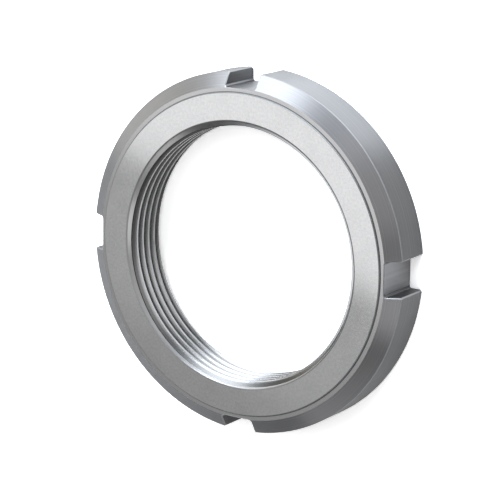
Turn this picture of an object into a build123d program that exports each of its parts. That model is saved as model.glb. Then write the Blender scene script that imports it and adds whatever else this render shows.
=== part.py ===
# Ring nut with a 55 x 2 mm thread: one turned steel ring with a bearing face and four spanner slots.
# It lies on its rear face. Its axis is +Z, and one of its slots points along +Y.

import os
from math import ceil, radians, sqrt, tan

from build123d import *

# Thread, in millimetres. It is right-handed.
thread_diameter = 55.0
thread_pitch = 2.0
profile_depth = 1.0825  # of a 60 degree nut thread, across the diameter, for each millimetre of pitch
flank_angle = 30.0  # of a groove's side, from a plane across the axis
root_flat = 0.125  # flat at the bottom of the groove, as a share of the pitch
thread_start = 0.465  # turn at which the groove's middle passes the rear face, from +X
cutter_overreach = 0.15  # how far the groove is cut past the crests into the open bore, as a share of the pitch
mouth_clearance = 0.2  # how far a mouth is opened past the thread's largest radius
mouth_angle = 45.0  # slope of a mouth's chamfer from the end face

# Ring
ring_wall = 10.0  # from the thread's largest radius to the outside
ring_width = 11.0
rear_rim_break = 0.6

# Front end: a bearing face, a narrow shelf round it and a long chamfer
shelf_width = 1.0
shelf_drop = 0.4
chamfer_width = 3.05  # measured along the radius
chamfer_angle = 30.0  # slope of the chamfer from the end face
turned_edge_radius = 0.15

# Spanner slots
slot_count = 4
slot_width = 7.2
slot_depth = 3.2
slot_corner_radius = 0.5
slot_lip_break = 0.3
first_slot_angle = 90.0

# Radii and heights that follow from the sizes above
root_radius = thread_diameter / 2
bore_radius = root_radius - profile_depth * thread_pitch / 2
mouth_radius = root_radius + mouth_clearance
outer_radius = root_radius + ring_wall
shelf_radius = outer_radius - chamfer_width
face_radius = shelf_radius - shelf_width
shelf_height = ring_width - shelf_drop
crease_height = shelf_height - chamfer_width * tan(radians(chamfer_angle))

# Section of the thread's groove, from its root inwards, and of the chamfer that opens a mouth
groove_reach = root_radius - bore_radius + cutter_overreach * thread_pitch
root_half = root_flat * thread_pitch / 2
groove_half = root_half + groove_reach * tan(radians(flank_angle))
mouth_slope = tan(radians(mouth_angle))
mouth_start = root_radius - groove_reach
mouth_depth = (mouth_radius - mouth_start) * mouth_slope

# A slot's outline, seen along the axis and measured from the axis outwards
slot_floor = outer_radius - slot_depth
wall_half = slot_width / 2
lip_start = sqrt(outer_radius**2 - wall_half**2) - slot_lip_break
lip_end = outer_radius + slot_lip_break  # clear of the rim
lip_half = wall_half + lip_end - lip_start

with BuildPart() as ring_nut:
    # The turned ring: half of its section, swung round the axis
    with BuildSketch(Plane.XZ) as section:
        with BuildLine():
            Polyline(
                (bore_radius, 0),
                (outer_radius, 0),
                (outer_radius, crease_height),
                (shelf_radius, shelf_height),
                (face_radius, shelf_height),
                (face_radius, ring_width),
                (bore_radius, ring_width),
                close=True,
            )
        make_face()
        rear_rim = section.vertices().sort_by_distance((outer_radius, 0))[0]
        chamfer(rear_rim, length=rear_rim_break)
        face_rim = section.vertices().sort_by_distance((face_radius, ring_width))[0]
        crease = section.vertices().sort_by_distance((outer_radius, crease_height))[0]
        fillet([face_rim, crease], radius=turned_edge_radius)
    revolve(axis=Axis.Z)

    # Thread: a groove cut turn by turn up a helix, from below the rear face to above the bearing face
    for turn in range(ceil(ring_width / thread_pitch) + 2):
        turn_bottom = (thread_start - 1 + turn) * thread_pitch
        with BuildLine():
            Helix(thread_pitch, thread_pitch, root_radius, center=(0, 0, turn_bottom))
        with BuildSketch(Plane((root_radius, 0, turn_bottom), x_dir=(1, 0, 0), z_dir=(0, -1, 0))):
            Polygon(
                (0, -root_half),
                (0, root_half),
                (-groove_reach, groove_half),
                (-groove_reach, -groove_half),
                align=None,
            )
        sweep(is_frenet=True, mode=Mode.SUBTRACT)

    # Mouths: chamfers that open both ends of the thread
    with BuildSketch(Plane.XZ):
        Polygon((mouth_start, 0), (mouth_radius, 0), (mouth_start, mouth_depth), align=None)
        with Locations((0, ring_width)):
            Polygon((mouth_start, 0), (mouth_radius, 0), (mouth_start, -mouth_depth), align=None)
    revolve(axis=Axis.Z, mode=Mode.SUBTRACT)

    # Spanner slots, milled from end to end, with rounded inner corners and deburred lips
    with BuildSketch() as slots:
        with PolarLocations(0, slot_count, start_angle=first_slot_angle):
            Polygon(
                (slot_floor, -wall_half),
                (lip_start, -wall_half),
                (lip_end, -lip_half),
                (lip_end, lip_half),
                (lip_start, wall_half),
                (slot_floor, wall_half),
                align=None,
            )
        inner_corners = slots.vertices().sort_by_distance((0, 0))[: 2 * slot_count]
        fillet(inner_corners, radius=slot_corner_radius)
    extrude(amount=ring_width, mode=Mode.SUBTRACT)

ring_nut.part.label = "ring_nut"

os.makedirs("parts", exist_ok=True)
export_step(ring_nut.part, "parts/ring_nut.step")

print("outside diameter", 2 * outer_radius)
print("face diameter", 2 * face_radius)
print("bore diameter", 2 * bore_radius)
print("volume", ring_nut.part.volume)
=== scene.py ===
from math import acos, asin, atan2, cos, dist, hypot, pi, radians, sin, sqrt, tan

import bpy
import bmesh
import numpy as np
from mathutils import Matrix, Vector


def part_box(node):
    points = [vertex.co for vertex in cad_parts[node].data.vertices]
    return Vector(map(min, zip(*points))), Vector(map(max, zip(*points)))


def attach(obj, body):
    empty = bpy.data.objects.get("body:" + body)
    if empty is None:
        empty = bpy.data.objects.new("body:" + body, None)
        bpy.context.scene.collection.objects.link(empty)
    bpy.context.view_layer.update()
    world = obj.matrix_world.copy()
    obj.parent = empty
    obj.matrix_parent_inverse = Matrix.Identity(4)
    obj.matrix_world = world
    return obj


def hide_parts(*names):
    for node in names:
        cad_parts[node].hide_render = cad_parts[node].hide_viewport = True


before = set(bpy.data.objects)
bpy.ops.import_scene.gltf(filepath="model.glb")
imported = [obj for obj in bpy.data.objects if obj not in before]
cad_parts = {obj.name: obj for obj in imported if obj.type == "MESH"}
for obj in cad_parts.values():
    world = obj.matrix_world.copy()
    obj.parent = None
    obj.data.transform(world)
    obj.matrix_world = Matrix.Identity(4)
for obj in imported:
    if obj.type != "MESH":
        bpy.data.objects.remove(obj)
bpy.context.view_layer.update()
nutLow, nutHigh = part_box("ring_nut")
mm = 0.001
print("frame loaded, nut box in mm:", [round((b - a) / mm, 2) for a, b in zip(nutLow, nutHigh)])


# Ring nut. Sizes in millimetres and degrees; the width comes from the CAD box.
nutValues = {
    "threadDiameter": 55.0,
    "threadPitch": 2.0,
    "threadDepth": 1.0825,
    "flankAngle": 30.0,            # of a groove's side, from a plane across the axis
    "rootShare": 0.125,            # flat at the bottom of the groove, of one pitch
    "threadStart": 0.465,          # turn of the helix at the rear face on +X
    "mouthClearance": 0.2,
    "mouthAngle": 45.0,            # of the chamfers at both ends, from the end faces
    "mouthRound": 0.5,             # radius between the bearing face and its mouth
    "ringWall": 10.0,
    "shelfWidth": 1.0,
    "shelfDrop": 0.4,
    "stepFoot": 0.2,               # strip of the shelf that the painted shade in the corner below the face takes up
    "coneWidth": 3.05,
    "coneAngle": 30.0,
    "turnedEdge": 0.15,            # radius on the face's rim and on the crease
    "rearRimBreak": 0.6,
    "slotCount": 4,
    "firstSlotAngle": 90.0,
    "slotWidth": 7.2,
    "slotDepth": 3.2,
    "slotCorner": 0.5,
    "lipBreak": 0.27,              # deburred edge of a slot along the outside
    "edgeBreak": 0.15,             # and along the cone, the shelf and the rear face
    # Columns and rows of quads
    "toothColumns": 104,
    "floorColumns": 8,             # each side of a slot's middle
    "dipColumns": 3,               # of a slot's rounded corner, up to the shelf's edge
    "cornerColumns": 7,            # and from there to the wall
    "paintedShadeColumns": 5,            # of the rounded corner, in the wall's darker steel as painted shade
    "faceRows": 3,
    "coneRows": 4,
    "sideRows": 7,
    "rearRows": 3,
    "slotRows": 5,
    "arcSteps": 8,
    "lowestTurn": -3,              # of the thread, low enough for the helix at every angle
    "supportGap": 0.04,            # row beside an edge, which keeps the shading of a flat stretch flat
    # Joining the patches
    "mouthMatch": 0.01,            # a quad of the bore this near to a mouth's chamfer is part of it
    "samePoint": 0.0001,           # points of an outline this near to each other are one
    "weld": 0.002,                 # and points of the mesh this near
    "sliver": 0.001,               # shorter edges are dissolved
    "sharpAngle": 13.0,            # steeper edges are shaded sharp
}
surfaces = ["face", "turned", "milled", "thread", "shelf", "side", "mouth", "step", "wall", "edge"]


def nutShape():                    # radii and heights that follow from nutValues
    v = dict(nutValues)
    v["width"] = (nutHigh[2] - nutLow[2]) / mm
    v["root"] = v["threadDiameter"] / 2
    v["crest"] = v["root"] - v["threadDepth"]
    v["rootHalf"] = v["rootShare"] * v["threadPitch"] / 2
    v["flank"] = v["threadDepth"] * tan(radians(v["flankAngle"]))

    mouthTurn = radians(v["mouthAngle"])
    v["mouthSlope"] = tan(mouthTurn)
    v["mouth"] = v["root"] + v["mouthClearance"]
    v["mouthTop"] = v["width"] - v["mouthRound"] * (1 - cos(mouthTurn))
    v["faceStart"] = v["mouth"] + v["mouthRound"] * tan(mouthTurn / 2)

    coneTurn = radians(v["coneAngle"])
    v["slope"] = tan(coneTurn)
    v["outer"] = v["root"] + v["ringWall"]
    v["shelf"] = v["outer"] - v["coneWidth"]
    v["face"] = v["shelf"] - v["shelfWidth"]
    v["shelfTop"] = v["width"] - v["shelfDrop"]
    tangent = v["turnedEdge"] * tan((pi / 2 - coneTurn) / 2)   # from the crease to the end of its rounding
    v["creaseStart"] = v["outer"] - tangent * cos(coneTurn)
    v["creaseEnd"] = v["shelfTop"] - v["coneWidth"] * v["slope"] - tangent

    v["floor"] = v["outer"] - v["slotDepth"]
    v["wall"] = v["slotWidth"] / 2
    v["wallEnd"] = sqrt(v["outer"] ** 2 - v["wall"] ** 2) - v["lipBreak"]
    return v


nut = nutShape()
slotPitch = 2 * pi / nut["slotCount"]
slotMiddles = [radians(nut["firstSlotAngle"]) + k * slotPitch for k in range(nut["slotCount"])]


def frontHeight(radius):           # of the shelf and the cone
    return nut["shelfTop"] - max(0.0, radius - nut["shelf"]) * nut["slope"]


def polar(radius, angle, z):
    return (radius * cos(angle), radius * sin(angle), z)


def arc(centre, radius, start, end):               # in a section, where 0 degrees is outwards and 90 is up
    angles = np.radians(np.linspace(start, end, nut["arcSteps"] + 1))
    return [(centre[0] + radius * cos(a), centre[1] + radius * sin(a)) for a in angles]


# Half of a slot's outline in plan, from its middle to the end of the rounded corner. Each column holds the
# milled edge and the outer edge of its break. Also gives the column where the outer edge leaves the shelf.
def slotHalf():
    milled, outer = nut["slotCorner"], nut["slotCorner"] + nut["edgeBreak"]
    cornerX, cornerY = nut["floor"] + milled, nut["wall"] - milled
    reach = hypot(cornerX, cornerY)
    leaves = acos((outer**2 + reach**2 - nut["shelf"] ** 2) / (2 * outer * reach)) - atan2(cornerY, cornerX)
    across = np.linspace(0, cornerY, nut["floorColumns"] + 1)
    columns = [((cornerX - milled, y), (cornerX - outer, y)) for y in across]
    dips = np.linspace(0, leaves, nut["dipColumns"] + 1)[1:]
    rises = np.linspace(leaves, pi / 2, nut["cornerColumns"] + 1)[1:]
    for a in [*dips, *rises]:
        columns.append([(cornerX - r * cos(a), cornerY + r * sin(a)) for r in (milled, outer)])
    return columns, nut["floorColumns"] + nut["dipColumns"]


slotColumns, leaveColumn = slotHalf()
cornerRows = len(slotColumns) - leaveColumn        # rows of a tooth's section that end at a rounded corner


# Section of a tooth as (radius, height), from the shelf's edge over the cone and the outside to the rear
def toothSection():
    gap, edge, outer = nut["supportGap"], nut["turnedEdge"], nut["outer"]
    cornerRadii = [hypot(*outerEdge) for _, outerEdge in slotColumns[leaveColumn:]]
    coneRadii = np.linspace(cornerRadii[-1], nut["creaseStart"] - gap, nut["coneRows"] + 1)[1:]
    rows = [(radius, frontHeight(radius)) for radius in [*cornerRadii, *coneRadii, nut["creaseStart"]]]
    rows += arc((outer - edge, nut["creaseEnd"]), edge, 90 - nut["coneAngle"], 0)[1:]
    sideHeights = np.linspace(nut["creaseEnd"] - gap, nut["rearRimBreak"], nut["sideRows"] + 1)
    rows += [(outer, z) for z in sideHeights]
    rearRadii = np.linspace(outer - nut["rearRimBreak"], cornerRadii[-1], nut["rearRows"] + 1)[:-1]
    return rows + [(radius, 0.0) for radius in [*rearRadii, *cornerRadii[::-1]]]


section = toothSection()


def borderAngle(row):              # how far from a slot's middle a row of the section ends
    corner = min(row, len(section) - 1 - row)
    if corner < cornerRows:
        x, y = slotColumns[leaveColumn + corner][1]
        return atan2(y, x)
    radius = section[row][0]
    ramp = min(1.0, max(0.0, (radius - nut["wallEnd"]) / (nut["outer"] - nut["wallEnd"])))
    edge = nut["edgeBreak"] + ramp * (nut["lipBreak"] - nut["edgeBreak"])
    return asin((nut["wall"] + edge) / radius)


def toothAngles(row):              # from the end of one slot to the start of the next
    border = borderAngle(row)
    return np.linspace(border, slotPitch - border, nut["toothColumns"] + 1)


# Angles of the columns round the whole ring, which the face, the bore and the rear share
def ringAngles():
    halfSlot = [atan2(y, x) for _, (x, y) in slotColumns[: leaveColumn + 1]]
    oneSlot = [-a for a in halfSlot[:0:-1]] + halfSlot
    return [middle + a for middle in slotMiddles for a in [*oneSlot, *toothAngles(0)[1:-1]]]


around = ringAngles()


def ringRow(radius, z):            # a full circle on the shared columns
    return [polar(radius, a, z) for a in [*around, around[0]]]


def shelfEdgeRow(z):               # the circle where the teeth start, which dips to the slots' floors
    halfSlot = [hypot(*outerEdge) for _, outerEdge in slotColumns[: leaveColumn + 1]]
    oneSlot = halfSlot[:0:-1] + halfSlot
    oneTooth = [nut["shelf"]] * (nut["toothColumns"] - 1)
    radii = (oneSlot + oneTooth) * nut["slotCount"]
    return [polar(radius, a, z) for radius, a in zip([*radii, radii[0]], [*around, around[0]])]


class Patches:                     # points and faces of all patches, with the surface that each face shows
    def __init__(self):
        self.points, self.faces, self.kinds = [], [], []

    def addFace(self, face, surface, flip):
        self.faces.append(face[::-1] if flip else face)
        self.kinds.append(surfaces.index(surface))

    def grid(self, rows, surface, flip=False):     # surface is a name, or a function that gives a quad's
        start, width = len(self.points), len(rows[0])
        for row in rows:
            self.points += row
        for i in range(len(rows) - 1):
            for j in range(width - 1):
                a = start + i * width + j
                quad = (a, a + 1, a + width + 1, a + width)
                self.addFace(quad, surface(quad) if callable(surface) else surface, flip)

    def polygon(self, points, surface, flip=False):
        start = len(self.points)
        self.points += points
        self.addFace(tuple(range(start, start + len(points))), surface, flip)

    def middle(self, quad):        # its radius and height
        x, y, z = np.mean([self.points[i] for i in quad], axis=0)
        return hypot(x, y), z


patches = Patches()


# Bearing face, its rim and the step below it, the shelf, and the rounding between the face and its mouth
def addFront():
    gap, edge, mouthRound = nut["supportGap"], nut["turnedEdge"], nut["mouthRound"]
    top, low = nut["width"], nut["shelfTop"]
    rim = arc((nut["face"] - edge, top - edge), edge, 90, 0)
    faceStart, faceEnd = nut["faceStart"], rim[0][0]
    between = np.linspace(faceStart + gap, faceEnd - gap, nut["faceRows"] + 1)
    patches.grid([ringRow(radius, top) for radius in [faceStart, *between, faceEnd]], "face")
    foot = nut["face"] + nut["stepFoot"]
    # painted shade: the rim's rounding, the step and its foot take the darker step steel
    patches.grid([ringRow(*p) for p in [*rim, (nut["face"], low), (foot, low)]], "step")
    patches.grid([ringRow(foot, low), shelfEdgeRow(low)], "shelf")
    mouthRim = arc((faceStart, top - mouthRound), mouthRound, 90 + nut["mouthAngle"], 90)
    patches.grid([ringRow(*p) for p in mouthRim], "mouth")


def addRear():
    rows = [shelfEdgeRow(0), ringRow(nut["face"], 0), ringRow(nut["mouth"], 0)]
    patches.grid(rows, "turned")


# Thread: a helix of flats and flanks, cut off by the two chamfered mouths. A column's rows are the corners
# of the thread's profile, with one more row between two corners, which sits where a mouth cuts that stretch.
def threadRadius(phase):           # of the bare profile, phase in turns from the middle of a root
    away = abs((phase + 0.5) % 1 - 0.5) * nut["threadPitch"]
    return nut["root"] - nut["threadDepth"] * min(1.0, max(0.0, (away - nut["rootHalf"]) / nut["flank"]))


def mouthRadius(z):                # of the chamfers at both ends
    return nut["mouth"] - min(z, nut["width"] - z) / nut["mouthSlope"]


def boreColumn(angle):
    pitch, width = nut["threadPitch"], nut["width"]
    lead = angle / (2 * pi) + nut["threadStart"]
    rootEnd, crestStart = nut["rootHalf"] / pitch, (nut["rootHalf"] + nut["flank"]) / pitch
    corners = []
    for turn in range(nut["lowestTurn"], int(width / pitch) + 2):
        corners += [turn + phase for phase in (-rootEnd, rootEnd, crestStart, 1 - crestStart)]
    heights = []
    for a, b in zip(corners, corners[1:]):
        low, high = (a + lead) * pitch, (b + lead) * pitch
        start = threadRadius(a) - mouthRadius(low)
        end = threadRadius(b) - mouthRadius(high)
        cut = start / (start - end) if start * end < 0 else 0.5
        heights += [low, low + cut * (high - low)]
    column = []
    for height in heights:
        z = min(nut["mouthTop"], max(0.0, height))
        radius = max(threadRadius(z / pitch - lead), mouthRadius(z), nut["crest"])
        column.append(polar(radius, angle, z))
    return column


def boreSurface(quad):             # a mouth's chamfer, or the thread
    radius, z = patches.middle(quad)
    return "mouth" if radius < mouthRadius(z) + nut["mouthMatch"] else "thread"


def addBore():
    columns = [boreColumn(a) for a in around]
    columns.append(boreColumn(around[0] + 2 * pi))         # the first column, one turn of the helix on
    patches.grid([list(row) for row in zip(*columns)], boreSurface, flip=True)


def toothSurface(quad):            # the outside, the crease, or the cone and the rear
    radius, z = patches.middle(quad)
    if z > nut["rearRimBreak"] and radius > nut["creaseStart"]:
        return "side" if z < nut["creaseEnd"] else "edge"
    return "turned"


# Teeth: cone, crease, outside, rear rim and the rear face between the slots
def addTeeth():
    for middle in slotMiddles:
        rows = [[polar(radius, middle + a, z) for a in toothAngles(i)]
                for i, (radius, z) in enumerate(section)]
        patches.grid(rows, toothSurface)


# Floor of half a slot with its rounded corner and broken edges. Gives the line, front to rear, of its end.
def addSlotFloor(place, flip):
    edge = nut["edgeBreak"]
    frontOuter, frontMilled, rearMilled, rearOuter = [], [], [], []
    for milled, outer in slotColumns:
        top = frontHeight(hypot(*outer))
        frontOuter.append(place(*outer, top))
        frontMilled.append(place(*milled, top - edge))
        rearMilled.append(place(*milled, edge))
        rearOuter.append(place(*outer, 0.0))
    ends = [(np.array(front), np.array(rear)) for front, rear in zip(frontMilled, rearMilled)]
    shares = np.linspace(0, 1, nut["slotRows"] + 1)
    depthRows = [[tuple(front * (1 - t) + rear * t) for front, rear in ends] for t in shares]
    shadeStart = nut["floorColumns"]
    shadeEnd = shadeStart + nut["paintedShadeColumns"]
    patches.grid([frontOuter, frontMilled], "milled", flip)
    patches.grid([row[: shadeStart + 1] for row in depthRows], "milled", flip)
    # painted shade: these columns of the corner, next to the wall, take the wall's darker steel
    patches.grid([row[shadeStart : shadeEnd + 1] for row in depthRows], "wall", flip)
    patches.grid([row[shadeEnd:] for row in depthRows], "milled", flip)
    patches.grid([rearMilled, rearOuter], "milled", flip)
    return [row[-1] for row in depthRows]


# Wall of half a slot: the section's rows beyond the corner, moved in by the edge break
def addSlotWall(place, middle, side, floorEnd):
    edge = nut["edgeBreak"]
    outerEdge, milledEdge = [], []
    for i in range(cornerRows - 1, len(section) - cornerRows + 1):
        radius, z = section[i]
        angle = borderAngle(i)
        outerEdge.append(polar(radius, middle + side * angle, z))
        x = min(radius * cos(angle), nut["wallEnd"])
        front = frontHeight(hypot(x, nut["wall"] + edge))
        milledEdge.append(place(x, nut["wall"], max(edge, min(z, front - edge))))
    patches.grid([outerEdge, milledEdge], "edge", side < 0)
    outline = [*milledEdge, *floorEnd[-2:0:-1]]
    apart = [p for before, p in zip(outline, outline[1:]) if dist(before, p) > nut["samePoint"]]
    patches.polygon([outline[0], *apart], "wall", side < 0)


def addSlots():
    for middle in slotMiddles:
        for side in (1, -1):
            def place(x, y, z):    # from the slot's own frame, x outwards, to the nut's
                y = side * y
                return (x * cos(middle) - y * sin(middle), x * sin(middle) + y * cos(middle), z)

            floorEnd = addSlotFloor(place, side < 0)
            addSlotWall(place, middle, side, floorEnd)


def buildNut():
    addFront()
    addRear()
    addBore()
    addTeeth()
    addSlots()
    mesh = bpy.data.meshes.new("ringNut")
    mesh.from_pydata([(x * mm, y * mm, z * mm) for x, y, z in patches.points], [], patches.faces)
    mesh.polygons.foreach_set("material_index", patches.kinds)
    bm = bmesh.new()
    bm.from_mesh(mesh)
    bmesh.ops.remove_doubles(bm, verts=bm.verts, dist=nut["weld"] * mm)
    bmesh.ops.dissolve_degenerate(bm, edges=bm.edges, dist=nut["sliver"] * mm)
    bmesh.ops.recalc_face_normals(bm, faces=bm.faces)
    openEdges = sum(1 for edge in bm.edges if len(edge.link_faces) != 2)
    volume = round(bm.calc_volume() / mm**3, 1)
    print("ring nut mesh:", len(bm.verts), "vertices,", len(bm.faces), "faces,",
          openEdges, "open or shared edges,", volume, "mm3")
    bm.to_mesh(mesh)
    bm.free()
    mesh.polygons.foreach_set("use_smooth", [True] * len(mesh.polygons))
    mesh.set_sharp_from_angle(angle=radians(nut["sharpAngle"]))
    piece = bpy.data.objects.new("ringNut", mesh)
    bpy.context.scene.collection.objects.link(piece)
    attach(piece, "root")
    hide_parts("ring_nut")
    return piece


ringNut = buildNut()


# Materials
def linear(hexColour):             # sRGB hex to the linear colour that a shader takes
    parts = [int(hexColour[i:i + 2], 16) / 255 for i in (1, 3, 5)]
    return (*[c / 12.92 if c <= 0.04045 else ((c + 0.055) / 1.055) ** 2.4 for c in parts], 1.0)


# Inputs hold plain values or sockets to link, by name, or by number where a node uses a name twice
def addNode(tree, kind, inputs, **settings):
    made = tree.nodes.new(kind)
    for name, value in settings.items():
        setattr(made, name, value)
    for name, value in inputs.items():
        if isinstance(value, bpy.types.NodeSocket):
            tree.links.new(value, made.inputs[name])
        else:
            made.inputs[name].default_value = value
    return made


def newTree(name):
    material = bpy.data.materials.new(name)
    material.use_nodes = True
    material.node_tree.nodes.clear()
    return material, material.node_tree


def surfacePoint(tree):            # in the nut's frame, in millimetres
    point = addNode(tree, "ShaderNodeTexCoord", {}).outputs["Object"]
    return addNode(tree, "ShaderNodeVectorMath", {0: point, 3: 1 / mm}, operation="SCALE").outputs[0]


def flatPoint(tree):               # the surface point dropped along the axis
    inputs = {0: surfacePoint(tree), 1: (1.0, 1.0, 0.0)}
    return addNode(tree, "ShaderNodeVectorMath", inputs, operation="MULTIPLY").outputs[0]


def axisDistance(tree):
    return addNode(tree, "ShaderNodeVectorMath", {0: flatPoint(tree)}, operation="LENGTH").outputs["Value"]


# One pattern drives a steel's colour, roughness and height. Where the tool left lines, reflections stretch
# across them: a quarter turn is across the circles round the axis. Grains, feeds, marks and depths are in
# millimetres.
acrossCircles = 0.25


def finishSteel(tree, values, pattern):
    dark, light = linear(values["dark"]), linear(values["light"])
    colour = addNode(tree, "ShaderNodeMix", {0: pattern, 6: dark, 7: light}, data_type="RGBA").outputs[2]
    low, high = values["roughness"]
    rough = addNode(tree, "ShaderNodeMapRange", {0: pattern, 1: 0.0, 2: 1.0, 3: low, 4: high}).outputs[0]
    inputs = {"Base Color": colour, "Metallic": 1.0, "Roughness": rough}
    if "bump" in values:
        relief = {"Height": pattern, "Strength": values["bump"], "Distance": values["depth"] * mm}
        inputs["Normal"] = addNode(tree, "ShaderNodeBump", relief).outputs[0]
    if "anisotropy" in values:
        tangent = addNode(tree, "ShaderNodeTangent", {}, direction_type="RADIAL", axis="Z")
        inputs["Tangent"] = tangent.outputs[0]
        inputs["Anisotropic"] = values["anisotropy"]
        inputs["Anisotropic Rotation"] = values.get("turn", acrossCircles)
    shader = addNode(tree, "ShaderNodeBsdfPrincipled", inputs)
    addNode(tree, "ShaderNodeOutputMaterial", {"Surface": shader.outputs[0]})


# Ground steel of the bearing face: an even satin grey with a fine grain that breaks up what it mirrors
groundSteelValues = {
    "dark": "#BEBFC0", "light": "#E4E4E5",
    "roughness": (0.11, 0.17),
    "grain": 0.55,                 # real grit is near 0.05 mm, drawn coarser to show
    "cloud": 4.0,                  # soft patches
    "cloudShare": 0.35,
    "bump": 0.3, "depth": 0.003,
}


def groundSteel():
    v = groundSteelValues
    material, tree = newTree("ground steel")
    point = surfacePoint(tree)
    grain = addNode(tree, "ShaderNodeTexNoise", {"Vector": point, "Scale": 1 / v["grain"], "Detail": 3.0})
    cloud = addNode(tree, "ShaderNodeTexNoise", {"Vector": point, "Scale": 1 / v["cloud"], "Detail": 2.0})
    shares = {0: v["cloudShare"], 2: grain.outputs[0], 3: cloud.outputs[0]}
    both = addNode(tree, "ShaderNodeMix", shares, data_type="FLOAT").outputs[0]
    finishSteel(tree, v, both)
    return material


# Turned steel: circles left by the tool stretch every reflection across them. The cone and the rear are cut
# with a coarse feed and the shelf with a fine one, which leaves it bright. The outside is the coarsest and
# dullest. The step's corner is painted darker, as shade in the corner below the face. The mouths' chamfers
# and the deburred edges are too narrow to stretch what they mirror, and the edges show as dull lines.
turnedSteelValues = {
    "cone": {
        "name": "turned steel", "dark": "#737374", "light": "#88888A",
        "roughness": (0.34, 0.42), "anisotropy": 0.78,
        "feed": 0.34,              # real feeds are near 0.1 mm a turn, drawn coarser to show, all of them
        "bump": 0.4, "depth": 0.004,
    },
    "shelf": {
        "name": "finely turned steel", "dark": "#B4B4B5", "light": "#C5C5C6",
        "roughness": (0.21, 0.27), "anisotropy": 0.4,
        "feed": 0.2, "bump": 0.2, "depth": 0.003,
    },
    "side": {
        "name": "rough turned steel", "dark": "#616161", "light": "#7E7E7E",
        "roughness": (0.56, 0.62), "anisotropy": 0.96,
        "feed": 0.4, "bump": 0.3, "depth": 0.004,
    },
    "mouth": {
        "name": "chamfered steel", "dark": "#858585", "light": "#939394",
        "roughness": (0.29, 0.35),
        "feed": 0.2, "bump": 0.2, "depth": 0.003,
    },
    # painted shade: darker than the shelf, for the shade in the corner below the face
    "step": {
        "name": "corner steel with painted shade", "dark": "#6B6C6D", "light": "#868787",
        "roughness": (0.50, 0.56), "anisotropy": 0.4,
        "feed": 0.2, "bump": 0.1, "depth": 0.003,
    },
    "edge": {
        "name": "deburred steel", "dark": "#747475", "light": "#828283",
        "roughness": (0.48, 0.54),
        "feed": 0.2, "bump": 0.1, "depth": 0.003,
    },
}


def turnedSteel(part):
    v = turnedSteelValues[part]
    material, tree = newTree(v["name"])
    height = addNode(tree, "ShaderNodeSeparateXYZ", {0: surfacePoint(tree)}).outputs["Z"]
    across = addNode(tree, "ShaderNodeMath", {0: axisDistance(tree), 1: height}, operation="SUBTRACT")
    noise = {"W": across.outputs[0], "Scale": 1 / v["feed"], "Detail": 2.0}
    lines = addNode(tree, "ShaderNodeTexNoise", noise, noise_dimensions="1D").outputs[0]
    finishSteel(tree, v, lines)
    return material


# Milled steel of the slots: the cutter's marks run along the axis, and the floor's reflections stretch
# across them. The walls, cut by the side of the tool, are darker and duller.
milledSteelValues = {
    "floor": {
        "name": "milled steel", "dark": "#606061", "light": "#7C7C7D",
        "roughness": (0.34, 0.44), "anisotropy": 0.8, "turn": 0.0,
        "mark": 0.6,               # real marks are near 0.15 mm apart, drawn coarser to show
        "bump": 0.2, "depth": 0.006,
    },
    # also used on the floor's corner next to the wall, as painted shade
    "wall": {
        "name": "side-milled steel", "dark": "#414142", "light": "#545455",
        "roughness": (0.50, 0.58),
        "mark": 0.45, "bump": 0.2, "depth": 0.006,
    },
}


def milledSteel(part):
    v = milledSteelValues[part]
    material, tree = newTree(v["name"])
    noise = {"Vector": flatPoint(tree), "Scale": 1 / v["mark"], "Detail": 2.0}
    marks = addNode(tree, "ShaderNodeTexNoise", noise).outputs[0]
    finishSteel(tree, v, marks)
    return material


# Cut steel of the thread: bright crests and upper flanks, over grooves painted dark as shade
cutSteelValues = {
    "dark": "#636363", "light": "#909091",
    "roughness": (0.26, 0.24),
    "paintedShadeTop": 0.12, "paintedShadeFull": 0.50,       # millimetres below the crests
}


def cutSteel():
    v = cutSteelValues
    material, tree = newTree("cut steel")
    # painted shade: the colour darkens from the crests down into the grooves
    full, top = nut["crest"] + v["paintedShadeFull"], nut["crest"] + v["paintedShadeTop"]
    fade = {0: axisDistance(tree), 1: full, 2: top, 3: 0.0, 4: 1.0}
    unshaded = addNode(tree, "ShaderNodeMapRange", fade, interpolation_type="SMOOTHSTEP").outputs[0]
    finishSteel(tree, v, unshaded)
    return material


steels = {
    "face": groundSteel(),
    "turned": turnedSteel("cone"),
    "milled": milledSteel("floor"),
    "thread": cutSteel(),
    "shelf": turnedSteel("shelf"),
    "side": turnedSteel("side"),
    "mouth": turnedSteel("mouth"),
    "step": turnedSteel("step"),
    "wall": milledSteel("wall"),
    "edge": turnedSteel("edge"),
}
for surface in surfaces:
    ringNut.data.materials.append(steels[surface])
print("materials:", [material.name for material in ringNut.data.materials])


# Floor: plain pale paper that the nut lies on
floorValues = {
    "half": 3.0,                   # of its side, in metres
    "colour": "#E6E6E6",
    "seen": 1.9,                   # for the camera and in reflections, so that the open floor is white
}


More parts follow.
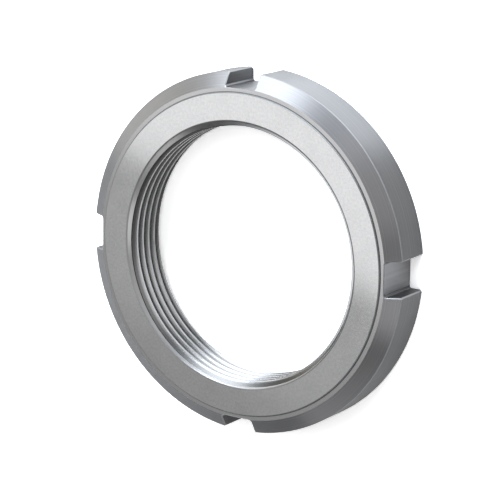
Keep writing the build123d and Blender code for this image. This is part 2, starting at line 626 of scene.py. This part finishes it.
def addFloor():
    v = floorValues
    h, z = v["half"], nutLow[2]
    mesh = bpy.data.meshes.new("floor")
    mesh.from_pydata([(-h, -h, z), (h, -h, z), (h, h, z), (-h, h, z)], [], [(0, 1, 2, 3)])
    floor = bpy.data.objects.new("floor", mesh)
    bpy.context.scene.collection.objects.link(floor)
    material, tree = newTree("paper floor")
    path = addNode(tree, "ShaderNodeLightPath", {}).outputs
    rays = {0: path["Is Glossy Ray"], 1: path["Is Transmission Ray"]}
    mirrored = addNode(tree, "ShaderNodeMath", rays, operation="MAXIMUM").outputs[0]
    rays = {0: path["Is Camera Ray"], 1: mirrored}
    seen = addNode(tree, "ShaderNodeMath", rays, operation="MAXIMUM").outputs[0]
    colours = {0: seen, 6: linear(v["colour"]), 7: (v["seen"], v["seen"], v["seen"], 1.0)}
    colour = addNode(tree, "ShaderNodeMix", colours, data_type="RGBA").outputs[2]
    shader = addNode(tree, "ShaderNodeBsdfDiffuse", {"Color": colour})
    addNode(tree, "ShaderNodeOutputMaterial", {"Surface": shader.outputs[0]})
    mesh.materials.append(material)


addFloor()
print("floor:", 2 * floorValues["half"], "m wide")


# Lamps. The face mirrors the three above it, and the border between the bright one and the dim one falls
# across it. Low strips light the outside, the cone and the bore, and higher boxes fill in from the sides.
# Places and sizes are in millimetres, turn is in degrees, and level is the brightness of the lamp itself.
lampValues = {
    # Level above the face
    "faceSoftbox": {"place": (-77.0, 19.5, 161.0), "size": (230.0, 112.0), "turn": -20.0,
                    "level": 0.92, "colour": "#FFFFFF"},
    "faceFill": {"place": (-121.8, -103.7, 161.0), "size": (230.0, 150.0), "turn": -20.0,
                 "level": 0.15, "colour": "#FFFFFF"},
    "faceBlend": {"place": (-104.8, -56.6, 158.0), "size": (230.0, 34.0), "turn": -20.0,
                  "level": 0.13, "colour": "#FFFFFF"},
    # Aimed at the nut
    "rimStrip": {"place": (108.0, 436.0, 75.0), "size": (430.0, 130.0),
                 "level": 21.5, "colour": "#EEF5FF"},
    "coneKey": {"place": (-172.0, 287.0, 300.0), "size": (250.0, 200.0),
                "level": 9.6, "colour": "#EFF7FF"},
    "leftStrip": {"place": (-400.0, 180.0, 94.0), "size": (320.0, 120.0),
                  "level": 3.2, "colour": "#FFFBF0"},
    "frontStrip": {"place": (112.0, -418.0, 118.0), "size": (360.0, 130.0),
                   "level": 2.0, "colour": "#FFFFFF"},
    "boreStrip": {"place": (-211.0, 380.0, 116.0), "size": (260.0, 200.0),
                  "level": 2.2, "colour": "#FFFFFF"},
    "sideBox": {"place": (290.0, 203.0, 277.0), "size": (460.0, 200.0),
                "level": 1.1, "colour": "#FFFFFF"},
    "threadFill": {"place": (313.0, -166.0, 277.0), "size": (240.0, 200.0),
                   "level": 2.4, "colour": "#FFFFFF"},
    "topBox": {"place": (184.0, 149.0, 508.0), "size": (340.0, 260.0),
               "level": 0.75, "colour": "#FFFFFF"},
}


def addLamp(name, values):
    data = bpy.data.lights.new(name, "AREA")
    data.shape = "RECTANGLE"
    data.size, data.size_y = [s * mm for s in values["size"]]
    data.color = linear(values["colour"])[:3]
    data.energy = values["level"] * pi * data.size * data.size_y
    lamp = bpy.data.objects.new(name, data)
    place = Vector(values["place"]) * mm
    if "turn" in values:
        turn = Matrix.Rotation(radians(values["turn"]), 3, "Z")
    else:
        turn = place.to_track_quat("Z", "Y").to_matrix()
    lamp.matrix_world = Matrix.Translation(place) @ turn.to_4x4()
    lamp.visible_camera = False
    bpy.context.scene.collection.objects.link(lamp)


for lampName, values in lampValues.items():
    addLamp(lampName, values)
print("lamps:", list(lampValues))


# Room: plain and dim, all round the lamps
roomValues = {
    "colour": "#FFFFFF",
    "level": 0.23,
}


def addRoom():
    world = bpy.data.worlds.new("room")
    bpy.context.scene.world = world
    world.use_nodes = True
    tree = world.node_tree
    tree.nodes.clear()
    light = {"Color": linear(roomValues["colour"]), "Strength": roomValues["level"]}
    shader = addNode(tree, "ShaderNodeBackground", light)
    addNode(tree, "ShaderNodeOutputWorld", {"Surface": shader.outputs[0]})


addRoom()
print("room level:", roomValues["level"])


# Camera, above the nut and to its right, with a long lens. Place and clip are in metres, lens and sensor in
# millimetres. Right and up are the picture's own directions.
cameraValues = {
    "place": (0.25008, 0.10802, 0.38672),
    "right": (0.83403, 0.01286, -0.55157),
    "up": (-0.13734, 0.97310, -0.18498),
    "lens": 164.67,
    "sensor": 36.0,
    "clip": (0.01, 20.0),
}


def addCamera():
    v = cameraValues
    data = bpy.data.cameras.new("camera")
    data.lens, data.sensor_width = v["lens"], v["sensor"]
    data.clip_start, data.clip_end = v["clip"]
    camera = bpy.data.objects.new("camera", data)
    right, up = Vector(v["right"]), Vector(v["up"])
    turn = Matrix((right, up, right.cross(up))).transposed().to_4x4()
    camera.matrix_world = Matrix.Translation(v["place"]) @ turn
    bpy.context.scene.collection.objects.link(camera)
    bpy.context.scene.camera = camera


addCamera()
print("camera:", cameraValues["lens"], "mm lens")
bpy.context.scene.view_settings.view_transform = "Standard"
